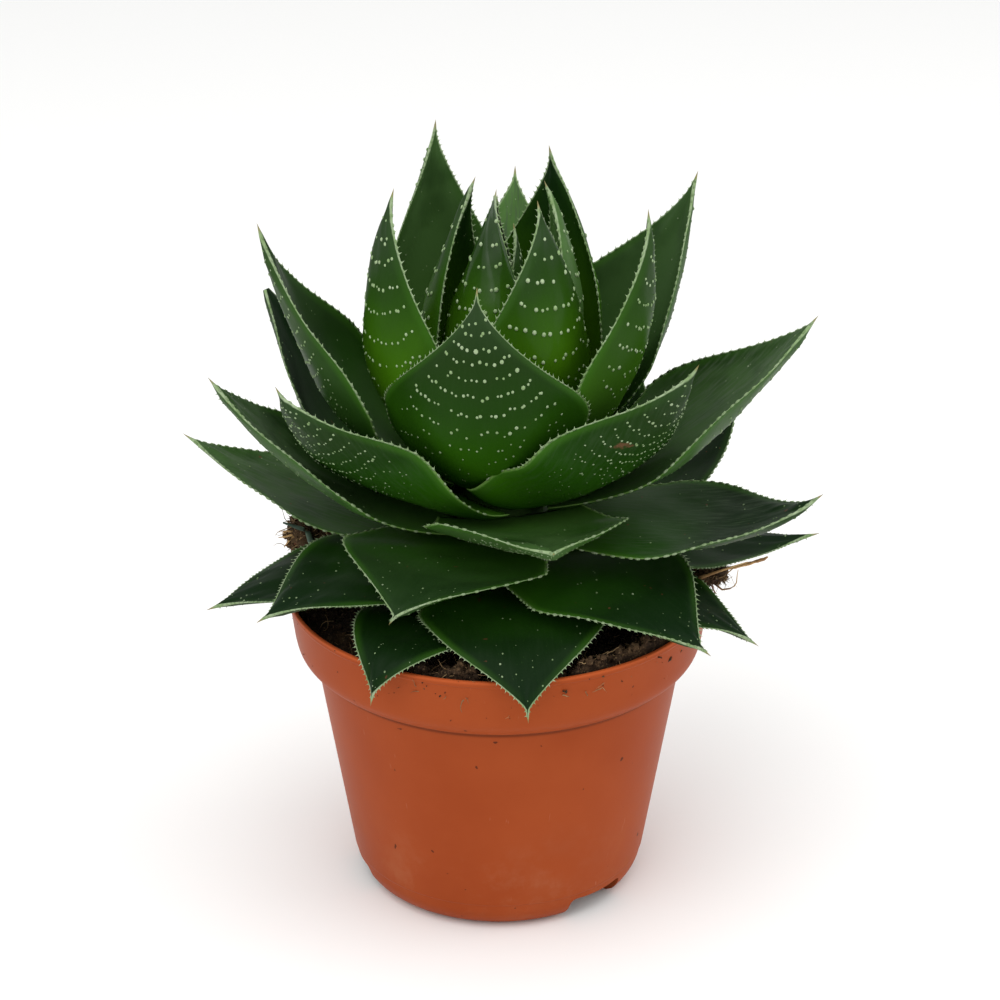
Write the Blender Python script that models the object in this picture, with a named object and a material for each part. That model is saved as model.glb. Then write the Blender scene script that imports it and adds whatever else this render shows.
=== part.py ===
"""Potted aloe: a rosette of toothed leaves on a short stem, in peat soil in a plastic nursery pot.

The pot's axis is Z and its foot stands on Z = 0. The viewer looks along +Y.
"""
import math
import random

import bmesh
import bpy
from mathutils import Matrix, Vector, noise
from mathutils.bvhtree import BVHTree

# Sizes are in millimetres and turned into metres when a mesh is made. Pieces that touch in the
# real plant are modelled a small gap apart.
MM = 0.001
GAP = 0.3
SMOOTH_ANGLE = 40

# Pot: a thin shell with a tall rim band, a ring line low on the wall and a drawn-in foot.
POT_HEIGHT = 78.3
POT_WALL = 1.0
RIM_RADIUS = 52.5
BAND_LOW_RADIUS = 50.8
BAND_LOW_HEIGHT = 66.5
CREASE_RADIUS = 47.6
CREASE_HEIGHT = 61.8
WALL_TOP_RADIUS = 45.8
WALL_TOP_HEIGHT = 60.6
RING_RADIUS = 37.1
RING_HEIGHT = 7.8
FOOT_RADIUS = 32.9
FLOOR_THICKNESS = 1.6
POT_SIDES = 48

# Drainage notches in the corner of the foot.
NOTCH_COUNT = 3
NOTCH_FIRST = 43
NOTCH_RADIUS = 32.6
NOTCH_WIDTH = 17
NOTCH_TOP = 6.2
NOTCH_DEPTH = 9
NOTCH_CLEARANCE = 0.4

# Soil: peat that fills the pot, uneven on top, with a lump of roots and crumbs at each side.
SOIL_TOP = 72.4
SOIL_EDGE = 50.0
SOIL_STEP = 7.0
SOIL_ROUGHNESS = 1.3
SOIL_SIDES = 32
HEAP_AZIMUTH = 62
HEAP_HEIGHT = 2.2
LUMP_ROUGHNESS = 0.22

# Lumps fused to the soil, each as azimuth, radius, height and size.
LUMPS = (
    (-108, 43, 76, 5.0),
    (-110, 46, 82.5, 5.0),
    (-106, 51, 85.5, 4.6),
    (-112, 52, 83.5, 4.3),
    (88, 46, 76.5, 3.8),
    (88, 48.2, 79.4, 2.6),
    (86.5, 51.5, 81.1, 2.3),
    (86, 54.8, 81.6, 2.4),
)

# Dried leaf: a thin ragged strip over the rim, as places and widths along its middle line.
DRIED_PLACES = ((50.5, 1.5, 80), (54, 1, 81.6), (58, -1.5, 83.6), (62.5, -4.2, 86.2), (66.5, -5, 88.2))
DRIED_WIDTHS = (4.2, 4.8, 4.0, 2.4, 1.2)
DRIED_THICKNESS = 0.8
DRIED_TILT = 24

# Stem: a short thick stump that narrows from its shoulder to the growing point.
STEM_FOOT = 60
STEM_RADIUS = 11
STEM_SHOULDER = 111.5
STEM_TAPER = 0.72
STEM_TOP = 124
STEM_SIDES = 16

# Leaves: golden angle spiral, counted outwards from the growing point. Shares of a leaf's length
# run from 0 at the stem to 1 at the tip.
GOLDEN_ANGLE = 137.5
FIRST_AZIMUTH = 145
SPIRAL_STEP = 1.36
SHOULDER_LEAF = 12
ROOT_GAP = 0.5
ROOT_NARROWING = 0.33
INNER_NARROWING = 0.5
SWELL_END = 0.45
CUP_START = 0.05
CUP_RANGE = 0.3
CLASP_RISE = 0.16
CLASP_FALL = 0.3
LEAF_RINGS = 7
LEAF_HANDLE = 0.42
LEAF_WIDEST = 0.42
LEAF_THICKNESS = 0.075
TIP_THINNING = 0.35
THIN_LEAF = 1.5
UPPER_SHARE = 0.35
TIP_SPINE = 3.0
CHANNEL = 28
CHANNEL_LOSS = 1.5
DEEPEST_LEAF = 15
FLATTEST_CHANNEL = 4
FULLEST_BEND = 1.15
TOOTH_PITCH = 4.0
TOOTH_LENGTH = 0.9
KEEL_START = 0.62
KEEL_TOOTH = 0.6

# Tubercles: small cones in rows on a leaf's underside, each row as its place along the leaf and
# the number of cones in it.
TUBERCLE_ROWS = ((0.46, 3), (0.66, 3))
TUBERCLE_RADIUS = 0.5
TUBERCLE_RISE = 0.4
TUBERCLE_ROOT = 0.4
TUBERCLE_SPREAD = 0.42
TUBERCLE_DRIFT = 0.03

# One row a leaf, from the innermost to the outermost: how far it is turned from its place in the
# spiral (degrees), the reach and height of its tip and its width (mm), its angle above the
# horizontal where it leaves the stem and at its tip, and its roll about its midrib (degrees).
LEAVES = (
    (0, 3, 156, 11, 80, 94, 0),
    (0, 4, 163, 14, 78, 96, 0),
    (0, 4, 174, 18, 74, 98, 0),
    (0, 1, 180, 22, 68, 102, 0),
    (-5, 1, 182, 32, 58, 106, 0),
    (-9, 11, 183, 34, 46, 108, 0),
    (-5, 6, 184, 36, 42, 108, 0),
    (9, 15, 183, 42, 43, 106, 0),
    (-20, 21, 187, 46, 38, 104, 0),
    (-6, 27, 186, 46, 28, 102, 0),
    (-5, 36, 180, 44, 32, 92, 0),
    (-9, 32, 190, 44, 29, 98, 0),
    (-3, 35, 170, 57, 29.8, 102, 0),
    (-10, 58, 176, 50, 39.6, 68, 0),
    (2, 57, 174, 50, 24.6, 72, 0),
    (2, 60, 153, 50, 17.3, 58, -9),
    (-9, 60, 168, 46, 22.6, 72, 0),
    (-20, 61, 145, 46, 19, 62, 15),
    (-8, 77, 149, 54, 14.3, 50, 0),
    (4, 68, 149, 41, 5, 64, 0),
    (-2, 57, 113, 50, 12.9, 21, -5),
    (0, 68, 140, 46, 14, 54, 0),
    (-12, 70, 138, 46, 10.8, 52, 0),
    (8, 80, 112, 47, 14, 40, 0),
    (0, 66, 125, 44, 11.7, 44, 0),
    (-7, 61, 95, 53, 12, -16, 0),
    (2, 76, 119, 38, 6, 56, 0),
    (2, 80, 113, 38, 12, 30, 0),
    (11, 69, 83, 48, 8, -20, 0),
    (0, 70, 100, 44, 11, 18, 0),
    (-6, 69, 87, 44, 11, -20, 0),
    (12, 82, 86, 37, 13, 8, 0),
    (2, 71, 95, 44, 11, 14, 0),
    (4, 61, 72, 46, 17.8, -53, 0),
    (8, 73, 85, 42, 13, 0, 0),
    (5, 73, 79, 40, 15, -20, 0),
    (13, 68, 74, 36, 16, -30, 0),
    (0, 68, 80, 38, 8, -10, 0),
    (0, 60, 72, 33, 13, -76, 0),
)

# Leaves whose root differs from the rule, by leaf number: how much narrower than the blade the
# root is, how much more it is cupped (radians), and how much thicker it is.
ROOTS = {
    14: (0.6, 0, 0),
    15: (0.6, 0, 0),
    16: (0, 0.04, 0.35),
    18: (0.04, -0.25, 0.34),
    19: (0.5, 0, 0),
    20: (0.55, 0, 0),
}

# Left margins that clasp the leaf above them, by leaf number, as extra bend (radians).
CLASPS = {16: 0.33}


def clear_scene():
    """Start from an empty scene."""
    for item in list(bpy.data.objects):
        bpy.data.objects.remove(item, do_unlink=True)


def plain_material(name, colour, roughness):
    """A Principled BSDF of one colour and roughness."""
    material = bpy.data.materials.new(name)
    material.use_nodes = True
    shader = material.node_tree.nodes["Principled BSDF"]
    shader.inputs["Base Color"].default_value = (*colour, 1.0)
    shader.inputs["Roughness"].default_value = roughness
    return material


def add_object(name, bm, material=None, group=None):
    """Turn a bmesh in millimetres into an object in metres with its faces pointing out."""
    bmesh.ops.scale(bm, vec=(MM, MM, MM), verts=bm.verts)
    bmesh.ops.recalc_face_normals(bm, faces=bm.faces)
    mesh = bpy.data.meshes.new(name)
    bm.to_mesh(mesh)
    bm.free()
    mesh.shade_smooth()
    mesh.set_sharp_from_angle(angle=math.radians(SMOOTH_ANGLE))
    item = bpy.data.objects.new(name, mesh)
    (group or bpy.context.scene.collection).objects.link(item)
    if material:
        mesh.materials.append(material)
    return item


def new_group(name):
    """An empty collection in the scene."""
    group = bpy.data.collections.new(name)
    bpy.context.scene.collection.children.link(group)
    return group


def fuse(item, group):
    """Join all objects of a collection to an object, then remove them."""
    union = item.modifiers.new("union", "BOOLEAN")
    union.operation = "UNION"
    union.solver = "EXACT"
    union.operand_type = "COLLECTION"
    union.collection = group
    bpy.context.view_layer.objects.active = item
    bpy.ops.object.modifier_apply(modifier=union.name)
    for piece in list(group.objects):
        bpy.data.objects.remove(piece, do_unlink=True)
    bpy.data.collections.remove(group)


def turned(profile, sides):
    """Spin a profile of (radius, height) points, which starts and ends on the axis, once round."""
    bm = bmesh.new()
    points = [bm.verts.new((radius, 0, height)) for radius, height in profile]
    edges = [bm.edges.new(pair) for pair in zip(points, points[1:])]
    bmesh.ops.spin(bm, geom=points + edges, axis=(0, 0, 1), angle=math.tau, steps=sides,
                   use_merge=True)
    bmesh.ops.remove_doubles(bm, verts=bm.verts, dist=0.01)
    return bm


def on_axis(azimuth, radius, height):
    """Point at an azimuth in degrees, where 0 faces the viewer and +90 is the viewer's right."""
    turn = math.radians(azimuth)
    return Vector((radius * math.sin(turn), -radius * math.cos(turn), height))


def pot_outer_profile():
    """Outside of the pot from the foot's centre up to the lip."""
    return [
        (0, 0),
        (FOOT_RADIUS - 2, 0),
        (FOOT_RADIUS, 0.6),
        (RING_RADIUS - 1.2, RING_HEIGHT - 3.4),
        (RING_RADIUS, RING_HEIGHT),
        (WALL_TOP_RADIUS, WALL_TOP_HEIGHT),
        (CREASE_RADIUS, CREASE_HEIGHT),
        (BAND_LOW_RADIUS - 0.9, BAND_LOW_HEIGHT - 2.6),
        (BAND_LOW_RADIUS, BAND_LOW_HEIGHT),
        (RIM_RADIUS, POT_HEIGHT),
    ]


def pot_inner_profile(inset):
    """Inside of the pot from the lip down to the floor, a distance inset from the outside."""
    return [
        (RIM_RADIUS - inset, POT_HEIGHT),
        (BAND_LOW_RADIUS - inset, BAND_LOW_HEIGHT + 0.5 * inset),
        (BAND_LOW_RADIUS - 0.9 - inset, BAND_LOW_HEIGHT - 2.6 + 0.8 * inset),
        (CREASE_RADIUS - inset, CREASE_HEIGHT + 0.8 * inset),
        (WALL_TOP_RADIUS - inset, WALL_TOP_HEIGHT),
        (RING_RADIUS - inset, RING_HEIGHT + 0.4 * inset),
        (FOOT_RADIUS - inset, inset + FLOOR_THICKNESS - POT_WALL),
        (0, inset + FLOOR_THICKNESS - POT_WALL),
    ]


def cut_notches(item, more):
    """Cut the drainage notches out of an object, each box larger by a distance on every side."""
    cutter = bmesh.new()
    for index in range(NOTCH_COUNT):
        centre = on_axis(NOTCH_FIRST + index * 360 / NOTCH_COUNT, NOTCH_RADIUS, 0)
        turn = Matrix.Rotation(math.atan2(centre.y, centre.x), 4, "Z")
        sides = [side + 2 * more for side in (NOTCH_DEPTH, NOTCH_WIDTH, 2 * NOTCH_TOP)]
        size = Matrix.Diagonal((*sides, 1))
        bmesh.ops.create_cube(cutter, size=1, matrix=Matrix.Translation(centre) @ turn @ size)
    notches = add_object("notches", cutter)
    notches.hide_render = True
    notches.display_type = "WIRE"
    cut = item.modifiers.new("drainage", "BOOLEAN")
    cut.object = notches
    cut.operation = "DIFFERENCE"
    cut.solver = "EXACT"


def make_pot(material):
    """Thin shell with notches cut through the corner of its foot."""
    bm = turned(pot_outer_profile() + pot_inner_profile(POT_WALL), POT_SIDES)
    pot = add_object("pot", bm, material)
    cut_notches(pot, 0)
    return pot


def soil_height(x, y):
    """Height of the peat's uneven top, heaped up towards the rim on one side."""
    radius = math.hypot(x, y)
    azimuth = math.degrees(math.atan2(x, -y))
    coarse = noise.noise(Vector((x, y, 0)) / 16)
    fine = noise.noise(Vector((x, y, 50)) / 5)
    facing = math.cos(math.radians(azimuth - HEAP_AZIMUTH))
    heap = HEAP_HEIGHT * ease((radius - 34) / 12) * max(facing, 0)
    return SOIL_TOP + SOIL_ROUGHNESS * (coarse + 0.7 * fine) + heap


def add_lump(azimuth, radius, height, size, group):
    """One rough lump of peat."""
    bm = bmesh.new()
    bmesh.ops.create_icosphere(bm, subdivisions=2, radius=size)
    place = on_axis(azimuth, radius, height)
    for vert in bm.verts:
        bump = noise.noise((place + vert.co) / 2.5)
        vert.co = place + vert.co * (1 + LUMP_ROUGHNESS * bump)
    add_object("lump", bm, group=group)


def make_soil(material):
    """Peat inside the pot with an uneven top, a plain hole for the stem and lumps at the rim."""
    wall = [spot for spot in reversed(pot_inner_profile(POT_WALL + GAP)) if spot[1] < SOIL_TOP]
    hole = STEM_RADIUS + GAP
    rings = int((SOIL_EDGE - hole) / SOIL_STEP)
    top = [(SOIL_EDGE - ring * SOIL_STEP, SOIL_TOP) for ring in range(rings)]
    floor = STEM_FOOT - GAP
    bm = turned([*wall, *top, (hole, SOIL_TOP), (hole, floor), (0, floor)], SOIL_SIDES)
    for vert in bm.verts:
        if vert.co.z > SOIL_TOP - 0.01 and vert.co.xy.length > hole + 1:
            vert.co.z = soil_height(vert.co.x, vert.co.y)
    soil = add_object("soil", bm, material)
    group = new_group("lumps")
    for lump in LUMPS:
        add_lump(*lump, group)
    fuse(soil, group)
    cut_notches(soil, NOTCH_CLEARANCE)
    return soil


def make_dried_leaf(material):
    """Loft a six-sided strip along its middle line, tilted towards the viewer."""
    bm = bmesh.new()
    tilt = math.radians(DRIED_TILT)
    across = Vector((0, math.cos(tilt), -math.sin(tilt)))
    up = Vector((0, math.sin(tilt), math.cos(tilt)))
    section = ((-0.5, 0), (-0.25, 0.5), (0.25, 0.5), (0.5, 0), (0.25, -0.5), (-0.25, -0.5))
    rings = []
    for place, width in zip(DRIED_PLACES, DRIED_WIDTHS):
        rings.append([
            bm.verts.new(Vector(place) + across * side * width + up * rise * DRIED_THICKNESS)
            for side, rise in section
        ])
    for low, high in zip(rings, rings[1:]):
        for corner in range(6):
            beside = (corner + 1) % 6
            bm.faces.new((low[corner], high[corner], high[beside], low[beside]))
    ends = [bm.faces.new(rings[0]), bm.faces.new(rings[-1])]
    bmesh.ops.triangulate(bm, faces=ends)
    return add_object("dried_leaf", bm, material)


def leaf_spiral(index):
    """Azimuth and height at which a leaf leaves the stem, and the stem's radius there."""
    azimuth = FIRST_AZIMUTH + index * GOLDEN_ANGLE + LEAVES[index][0]
    below = max(index - SHOULDER_LEAF, 0)
    above = max(SHOULDER_LEAF - index, 0)
    return azimuth, STEM_SHOULDER - below * SPIRAL_STEP + above, STEM_RADIUS - above * STEM_TAPER


def ease(share):
    """Smooth step from 0 to 1."""
    share = min(max(share, 0), 1)
    return share * share * (3 - 2 * share)


class Leaf:
    """The form of one leaf, from its row of sizes."""

    def __init__(self, index):
        _, reach, top, width, start_angle, end_angle, roll = LEAVES[index]
        self.azimuth, base_height, stem_radius = leaf_spiral(index)
        self.width = width
        rule = (INNER_NARROWING if index < SHOULDER_LEAF else ROOT_NARROWING, 0, 0)
        self.narrow, self.cup, self.swell = ROOTS.get(index + 1, rule)
        self.clasp = CLASPS.get(index + 1, 0)
        away = math.radians(start_angle)
        inward = UPPER_SHARE * self.rib_thickness(0) * math.sin(away)
        start = Vector((stem_radius + ROOT_GAP + inward, base_height))
        end = Vector((reach, top))
        handle = LEAF_HANDLE * (end - start).length
        home = math.radians(end_angle)
        self.bezier = (
            start,
            start + handle * Vector((math.cos(away), math.sin(away))),
            end - handle * Vector((math.cos(home), math.sin(home))),
            end,
        )
        self.length = (end - start).length * 1.08
        self.roll = math.radians(roll)
        self.taper = 1.3 if index < 16 else 1.1
        channel = CHANNEL - abs(index - DEEPEST_LEAF) * CHANNEL_LOSS
        self.channel = math.radians(max(channel, FLATTEST_CHANNEL))

    def rib(self, along):
        """Point on the midrib and its slope: along runs from 0 at the stem to 1 at the tip."""
        a, b, c, d = self.bezier
        rest = 1 - along
        point = a * rest ** 3 + b * 3 * along * rest ** 2 + c * 3 * along ** 2 * rest + d * along ** 3
        slope = (b - a) * rest ** 2 + (c - b) * 2 * along * rest + (d - c) * along ** 2
        return point, math.atan2(slope.y, slope.x)

    def half_width(self, along):
        """Ovate outline with a narrower root, a drawn-out point and a spine half a mm wide."""
        to_tip = max(1 - TIP_SPINE / self.length - along, 0)
        point = 1 - LEAF_WIDEST
        rise = math.sin(math.pi / 2 * min(to_tip / point, 1)) ** self.taper
        root = 1 - self.narrow * max(to_tip - point, 0) / LEAF_WIDEST
        return 0.5 + (self.width / 2 - 0.5) * rise * root

    def rib_thickness(self, along):
        """Thickness at the midrib, before the tip thins it."""
        swell = 1 + self.swell * (1 - ease(along / SWELL_END))
        return max(self.width * LEAF_THICKNESS, THIN_LEAF) * (1 - TIP_THINNING * along) * swell

    def thickness(self, along, across):
        """Crescent section: thick at the rib, a thin edge at the margin."""
        middle = min(self.rib_thickness(along), 0.8 + 0.6 * self.half_width(along))
        return middle * (1 - across ** 2)

    def point(self, along, across, face, outward=0.0):
        """Point on the upper (face 1), lower (-1) or middle (0) surface; across runs -1 to 1.

        The section is an arc: near the stem it follows the stem round, further out it is a channel.
        """
        spot, slope = self.rib(along)
        turn = math.radians(self.azimuth)
        ahead = Vector((math.cos(slope) * math.sin(turn), -math.cos(slope) * math.cos(turn),
                        math.sin(slope)))
        level = Vector((math.cos(turn), math.sin(turn), 0))
        twist = Matrix.Rotation(self.roll * min(2 * along, 1), 3, ahead)
        side = twist @ level
        up = ahead.cross(side)
        half = self.half_width(along)
        wrap = half * max(math.sin(slope), 0) / max(spot.x, STEM_RADIUS / 2)
        cup = self.cup * (1 - ease((along - CUP_START) / CUP_RANGE))
        if across < 0:
            cup += self.clasp * ease(along / CLASP_RISE) * (1 - ease((along - CLASP_RISE) / CLASP_FALL))
        bend = min(wrap + cup + self.channel * ease((along - 0.2) / 0.5) + 0.02, FULLEST_BEND)
        reach = math.sin(bend * across) / bend * half
        lift = (1 - math.cos(bend * across)) / bend * half
        out = side * math.cos(bend * across) + up * math.sin(bend * across)
        inward = up * math.cos(bend * across) - side * math.sin(bend * across)
        share = {1: UPPER_SHARE, -1: UPPER_SHARE - 1, 0: 0.0}[face]
        centre = on_axis(self.azimuth, spot.x, spot.y)
        offset = inward * share * self.thickness(along, across)
        return centre + side * reach + up * lift + offset + out * math.copysign(outward, across)


# Places of the eight points round a leaf's section, as (across, face).
SECTION = ((-1, 0), (-0.55, 1), (0, 1), (0.55, 1), (1, 0), (0.55, -1), (0, -1), (-0.55, -1))
LEFT_MARGIN, MIDDLE, RIGHT_MARGIN, KEEL = 0, 2, 4, 6


def toothed_line(leaf, bm, start, end, corner):
    """Vertices strictly between two rings along a margin or the keel, every other one a tooth."""
    across, face = SECTION[corner]
    steps = 2 * max(round((end - start) * leaf.length / TOOTH_PITCH), 1)
    points = []
    for step in range(1, steps):
        along = start + (end - start) * step / steps
        tooth = step % 2
        if corner == KEEL:
            spot = leaf.point(along, across, face)
            above = leaf.point(along, across, 1)
            spot += (spot - above).normalized() * KEEL_TOOTH * tooth
        else:
            spot = leaf.point(along, across, face, TOOTH_LENGTH * tooth)
        points.append(bm.verts.new(spot))
    return points


def fill_strip(bm, low, high, line):
    """Triangles between a plain edge, low to high, and a line of vertices beside it."""
    middle = len(line) // 2
    for step, pair in enumerate(zip(line, line[1:])):
        bm.faces.new((low if step < middle else high, *pair))
    bm.faces.new((low, high, line[middle]))


def add_tubercles(leaf, surface, draw, group):
    """Three-sided cones in rows on the underside of a leaf, their roots sunk into it."""
    for along, count in TUBERCLE_ROWS:
        for step in range(count):
            across = TUBERCLE_SPREAD * (step - (count - 1) / 2)
            drift = [draw.uniform(-TUBERCLE_DRIFT, TUBERCLE_DRIFT) for _ in range(2)]
            spot, normal, _, _ = surface.find_nearest(
                leaf.point(along + drift[0], across + drift[1], -1))
            middle = spot + normal * (TUBERCLE_RISE - TUBERCLE_ROOT) / 2
            turn = normal.to_track_quat("Z", "Y").to_matrix().to_4x4()
            cone = bmesh.new()
            bmesh.ops.create_cone(cone, cap_ends=True, segments=3, radius1=TUBERCLE_RADIUS,
                                  radius2=0, depth=TUBERCLE_RISE + TUBERCLE_ROOT,
                                  matrix=Matrix.Translation(middle) @ turn)
            add_object("tubercle", cone, group=group)


def make_leaf(index, material):
    """Loft rings of eight points, with teeth on both margins and on the keel near the tip."""
    leaf = Leaf(index)
    bm = bmesh.new()
    last = 1 - TIP_SPINE / leaf.length
    stations = [last * ring / LEAF_RINGS for ring in range(LEAF_RINGS + 1)]
    rings = [[bm.verts.new(leaf.point(along, *corner)) for corner in SECTION]
             for along in stations]
    for low, high, start, end in zip(rings, rings[1:], stations, stations[1:]):
        for corner in (LEFT_MARGIN, MIDDLE, RIGHT_MARGIN, KEEL):
            toothed = corner != MIDDLE and start > (KEEL_START if corner == KEEL else 0)
            between = toothed_line(leaf, bm, start, end, corner) if toothed else []
            line = [low[corner], *between, high[corner]]
            for beside in (corner - 1, (corner + 1) % 8):
                fill_strip(bm, low[beside], high[beside], line)
    tip = bm.verts.new(leaf.point(1, 0, 0))
    for corner in range(8):
        bm.faces.new((rings[-1][corner], tip, rings[-1][(corner + 1) % 8]))
    bmesh.ops.triangulate(bm, faces=[bm.faces.new(rings[0])])
    bmesh.ops.recalc_face_normals(bm, faces=bm.faces)
    group = new_group("tubercles")
    add_tubercles(leaf, BVHTree.FromBMesh(bm), random.Random(index), group)
    item = add_object(f"leaf_{index + 1:02d}", bm, material)
    fuse(item, group)
    return item


def stem_profile():
    """Stem from its foot in the soil to the growing point."""
    return [
        (0, STEM_FOOT),
        (STEM_RADIUS - 1.5, STEM_FOOT),
        (STEM_RADIUS, STEM_FOOT + 5),
        (STEM_RADIUS, STEM_SHOULDER),
        (STEM_RADIUS - (STEM_TOP - STEM_SHOULDER) * STEM_TAPER, STEM_TOP),
        (0, STEM_TOP + 1),
    ]


def make_stem(material):
    """Turned stump, hidden by the leaves."""
    return add_object("stem", turned(stem_profile(), STEM_SIDES), material)


def make_all():
    """The whole plant in its pot."""
    clear_scene()
    terracotta = plain_material("terracotta_plastic", (0.42, 0.09, 0.03), 0.42)
    green = plain_material("aloe_leaf", (0.03, 0.12, 0.02), 0.35)
    peat = plain_material("peat", (0.035, 0.018, 0.009), 0.95)
    pale_green = plain_material("stem", (0.12, 0.24, 0.04), 0.5)
    straw = plain_material("dried_leaf", (0.30, 0.17, 0.06), 0.75)
    make_pot(terracotta)
    make_soil(peat)
    make_stem(pale_green)
    make_dried_leaf(straw)
    for index in range(len(LEAVES)):
        make_leaf(index, green)


make_all()
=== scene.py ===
import math
import random

import bpy
import numpy as np
from mathutils import Matrix, Vector, noise
from mathutils.bvhtree import BVHTree


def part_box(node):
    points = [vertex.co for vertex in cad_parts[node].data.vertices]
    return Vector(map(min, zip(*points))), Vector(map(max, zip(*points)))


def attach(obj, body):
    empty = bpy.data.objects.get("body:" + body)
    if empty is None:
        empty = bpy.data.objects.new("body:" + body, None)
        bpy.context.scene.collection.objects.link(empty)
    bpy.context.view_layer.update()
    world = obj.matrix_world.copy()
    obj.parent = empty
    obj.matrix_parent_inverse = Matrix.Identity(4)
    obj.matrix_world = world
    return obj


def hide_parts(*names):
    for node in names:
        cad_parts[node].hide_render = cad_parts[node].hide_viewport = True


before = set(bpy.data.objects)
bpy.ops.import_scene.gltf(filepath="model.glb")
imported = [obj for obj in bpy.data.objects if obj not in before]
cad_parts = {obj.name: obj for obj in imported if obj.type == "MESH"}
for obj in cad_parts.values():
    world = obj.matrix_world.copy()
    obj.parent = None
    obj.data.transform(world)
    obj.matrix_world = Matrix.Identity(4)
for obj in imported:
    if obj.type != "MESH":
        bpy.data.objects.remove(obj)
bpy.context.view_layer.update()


# Pot: a round nursery pot of terracotta coloured plastic, moulded as one thin shell. It has a tall
# rim band with a thin lip, a faint ring where the wall turns in to the foot, and drainage notches
# cut through the corner of the foot. Its surface is satin, with dust, scuffs and fine scratches.
MM = 0.001
POT_SIDES = 160
POT_WALL = 1.0
LIP_WALL = 1.1
LIP_BEAD = 0.25
BAND_HEIGHT = 11.8
BAND_LEAN = 1.7
RIM_HEIGHT = 17.7
WALL_TOP_RADIUS = 45.8
FLOOR_THICKNESS = 1.6
RING_HEIGHT = 7.8
RING_RADIUS = 37.1
RING_STEP = 0.22
FOOT_RADIUS = 32.9
FOOT_CURVE = 3.4
CORNER_STEPS = 6
NOTCH_COUNT = 3
NOTCH_FIRST = 43
NOTCH_RADIUS = 32.6
NOTCH_SIZE = (9, 17, 12.4)
NOTCH_CORNER = 1.6
SMOOTH_ANGLE = math.radians(35)
rim_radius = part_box("pot")[1][0] / MM
pot_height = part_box("pot")[1][2] / MM
band_low = pot_height - BAND_HEIGHT
wall_top = pot_height - RIM_HEIGHT


def select_only(*items):
    """Select these objects and make the first one active."""
    bpy.ops.object.select_all(action="DESELECT")
    for item in items:
        item.select_set(True)
    bpy.context.view_layer.objects.active = items[0]


def apply_modifier(item, kind, **settings):
    """Add a modifier of one kind to an object and apply it."""
    modifier = item.modifiers.new(kind.lower(), kind)
    for name, value in settings.items():
        setattr(modifier, name, value)
    select_only(item)
    bpy.ops.object.modifier_apply(modifier=modifier.name)


def rounded(corners):
    """Points along an outline of (radius, height, rounding) corners, each corner cut by a curve."""
    points = []
    for before, corner, after in zip(corners, corners[1:], corners[2:]):
        middle = Vector(corner[:2])
        ends = []
        for other in (before, after):
            away = Vector(other[:2]) - middle
            ends.append(middle + away.normalized() * min(corner[2], away.length * 0.49))
        for step in range(CORNER_STEPS + 1):
            share = step / CORNER_STEPS
            points.append(ends[0] * (1 - share) ** 2 + middle * 2 * share * (1 - share)
                          + ends[1] * share ** 2)
    return [tuple(point) for point in points]


def turned_piece(name, outline, sides):
    """Raise a disc ring by ring along an outline of (radius, height) points to a closed body."""
    bpy.ops.object.select_all(action="DESELECT")
    radius, height = outline[0]
    bpy.ops.mesh.primitive_circle_add(vertices=sides, radius=radius * MM, fill_type="NGON",
                                      location=(0, 0, height * MM))
    piece = bpy.context.object
    piece.name = name
    bpy.ops.object.transform_apply()
    bpy.ops.object.mode_set(mode="EDIT")
    bpy.ops.mesh.select_all(action="SELECT")
    for (radius, height), (next_radius, next_height) in zip(outline, outline[1:]):
        bpy.ops.mesh.extrude_region_move(
            TRANSFORM_OT_translate={"value": (0, 0, (next_height - height) * MM)})
        growth = next_radius / radius
        bpy.ops.transform.resize(value=(growth, growth, 1))
    bpy.ops.mesh.select_all(action="SELECT")
    bpy.ops.mesh.normals_make_consistent(inside=False)
    bpy.ops.object.mode_set(mode="OBJECT")
    return piece


def dress(piece, material, slot, *nodes):
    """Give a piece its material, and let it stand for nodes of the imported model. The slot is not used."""
    piece.data.materials.clear()
    piece.data.materials.append(material)
    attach(piece, "root")
    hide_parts(*nodes)


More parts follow.
